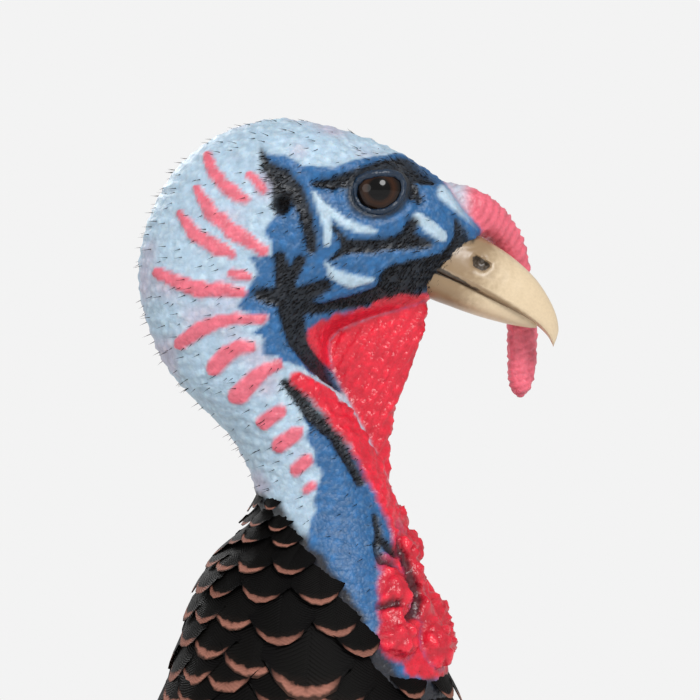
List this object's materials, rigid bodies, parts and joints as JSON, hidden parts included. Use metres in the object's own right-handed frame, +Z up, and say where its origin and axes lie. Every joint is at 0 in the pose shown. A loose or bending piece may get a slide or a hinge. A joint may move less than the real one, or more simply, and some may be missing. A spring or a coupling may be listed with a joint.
{
  "type": "wild turkey",
  "caption": "Life-size standing male wild turkey, a still museum model with bare blue and red head, snood, beard, folded wings and closed tail.",
  "frame": {"origin": "on the floor, at the middle of the bird's outline", "axes": "+X the way the bill points, +Y the bird's left side, +Z up"},
  "size_m": [0.9313, 0.3008, 0.8823],
  "materials": {
    "skin_face": "bare warty skin, pale blue on the crown and deeper blue on the face, with a soft sheen",
    "skin_red": "bare warty skin, scarlet, moist sheen",
    "skin_pink": "soft wrinkled skin, pink",
    "bill_horn": "horn, satin, brown at the base and pale at the tip",
    "eye": "wet gloss, dark brown iris and black pupil",
    "feather_dark": "matt black feathers with brown edges",
    "feather_bronze": "bronze feathers with black tips and a metallic sheen",
    "feather_barred": "flight feathers barred brown-black and white",
    "feather_tail": "chestnut feathers with fine black bars, a black band and a chestnut tip",
    "leg_scale": "coral scutes, satin",
    "claw": "dark horn, glossy",
    "beard": "coarse black bristle"
  },
  "bodies": {
    "root": {"head": "skin_face", "neck_bare": "skin_face", "dewlap": "skin_red", "caruncles": "skin_red", "snood": "skin_pink", "upper_bill": "bill_horn", "lower_bill": "bill_horn", "eye_left": "eye", "eye_right": "eye", "neck_feathered": "feather_dark", "thigh_left": "feather_dark", "thigh_right": "feather_dark", "trunk": "feather_bronze", "rump": "feather_bronze", "wing_coverts_left": "feather_bronze", "wing_coverts_right": "feather_bronze", "wing_secondaries_left": "feather_barred", "wing_secondaries_right": "feather_barred", "wing_primaries_left": "feather_barred", "wing_primaries_right": "feather_barred", "tail": "feather_tail", "shank_left": "leg_scale", "shank_right": "leg_scale", "foot_left": "leg_scale", "foot_right": "leg_scale", "toe_inner_left": "leg_scale", "toe_inner_right": "leg_scale", "toe_middle_left": "leg_scale", "toe_middle_right": "leg_scale", "toe_outer_left": "leg_scale", "toe_outer_right": "leg_scale", "toe_hind_left": "leg_scale", "toe_hind_right": "leg_scale", "claw_inner_left": "claw", "claw_inner_right": "claw", "claw_middle_left": "claw", "claw_middle_right": "claw", "claw_outer_left": "claw", "claw_outer_right": "claw", "claw_hind_left": "claw", "claw_hind_right": "claw", "spur_left": "claw", "spur_right": "claw", "beard": "beard"}
  },
  "joints": []
}
